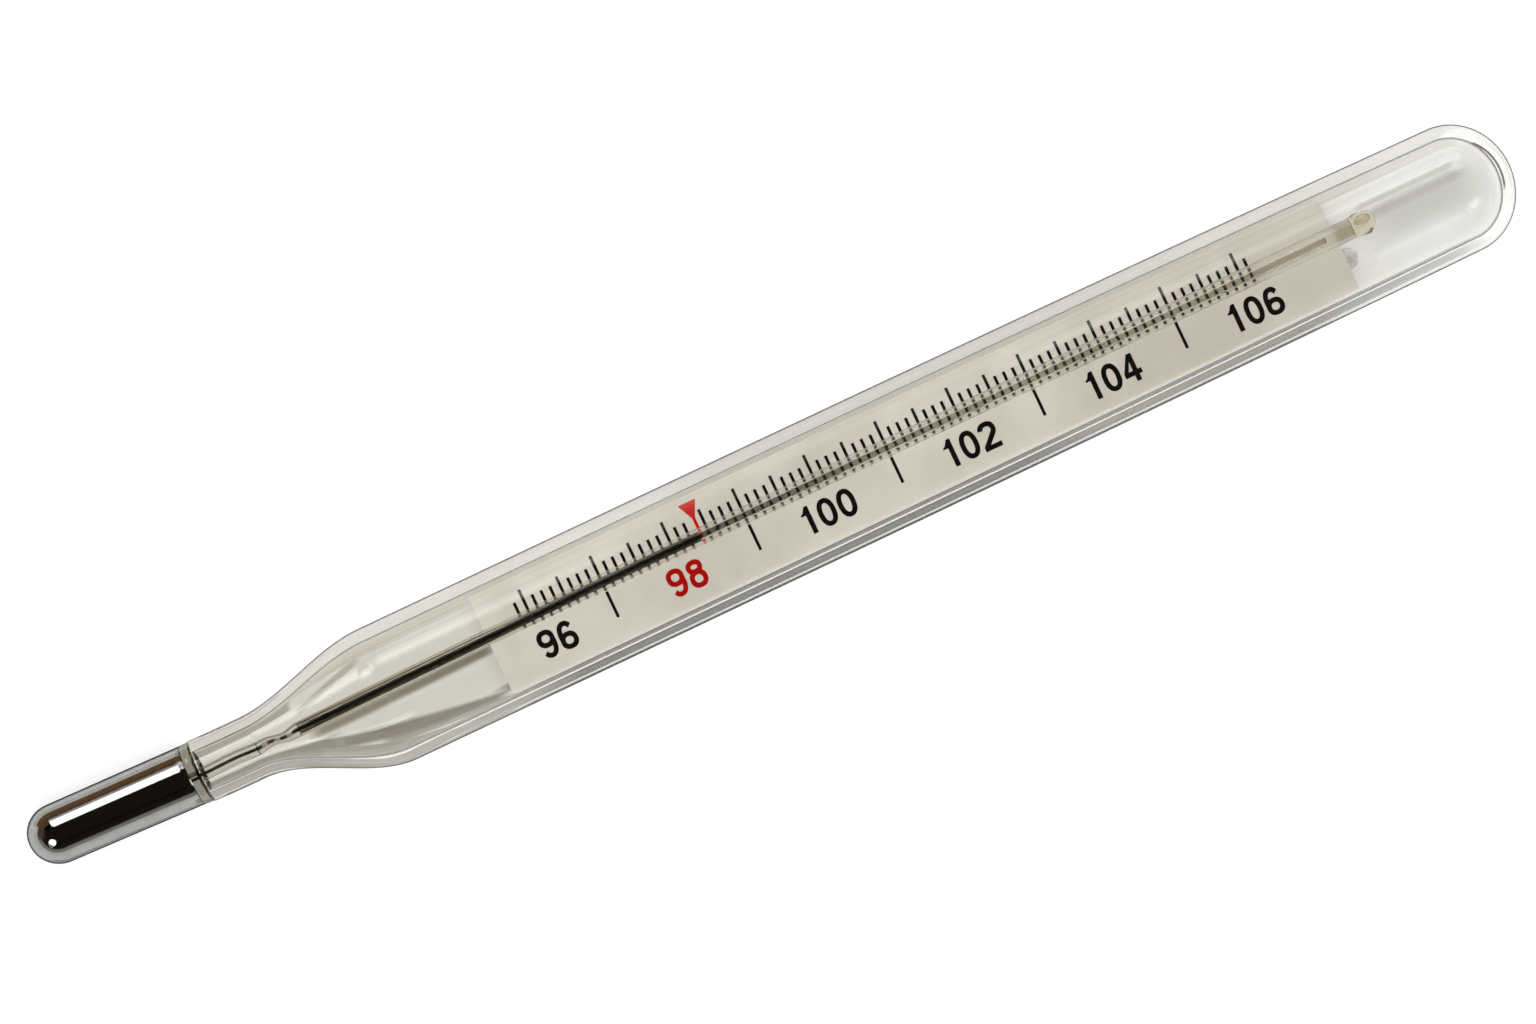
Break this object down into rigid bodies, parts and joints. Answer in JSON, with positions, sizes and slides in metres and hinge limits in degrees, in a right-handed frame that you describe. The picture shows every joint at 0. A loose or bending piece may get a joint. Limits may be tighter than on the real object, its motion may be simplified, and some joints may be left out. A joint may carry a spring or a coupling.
{
  "type": "clinical thermometer",
  "caption": "Slender glass fever thermometer: a mercury bulb and drawn neck, an oval clear sheath, and a printed scale plate behind a fine capillary in which the column slides.",
  "frame": {"origin": "under the middle of the length, on the surface the thermometer lies on", "axes": "+X from the bulb to the closed top, +Y towards the tops of the numerals, +Z out of the face of the scale"},
  "size_m": [0.115, 0.01, 0.0078],
  "materials": {
    "sheath_glass": "gloss",
    "bulb_glass": "gloss",
    "weld_glass": "gloss",
    "capillary_glass": "gloss",
    "seal_bead": "gloss",
    "mercury": "polished",
    "scale_plate": "satin",
    "cement": "satin",
    "black_ink": "satin",
    "red_ink": "satin"
  },
  "bodies": {
    "thermometer": {"glass_sheath": "sheath_glass", "bulb_shell": "bulb_glass", "bulb_mercury": "mercury", "weld_ring": "weld_glass", "stem_tube": "capillary_glass", "stem_mercury": "mercury", "constriction": "capillary_glass", "constriction_mercury": "mercury", "capillary_tube": "capillary_glass", "mercury_thread": "mercury", "capillary_seal": "seal_bead", "scale_plate": "scale_plate", "plate_cement": "cement", "short_marks": "black_ink", "half_degree_marks": "black_ink", "degree_marks": "black_ink", "odd_degree_lines": "black_ink", "numeral_96": "black_ink", "numeral_98": "red_ink", "numeral_100": "black_ink", "numeral_102": "black_ink", "numeral_104": "black_ink", "numeral_106": "black_ink", "normal_mark": "red_ink"},
    "mercury_column": {"mercury_meniscus": "mercury"}
  },
  "joints": [
    {"name": "column_rise", "type": "slide", "parent": "thermometer", "child": "mercury_column", "axis": [1, 0, 0], "range_m": [-0.0189, 0.0423], "deforming": ["mercury_thread"]}
  ]
}
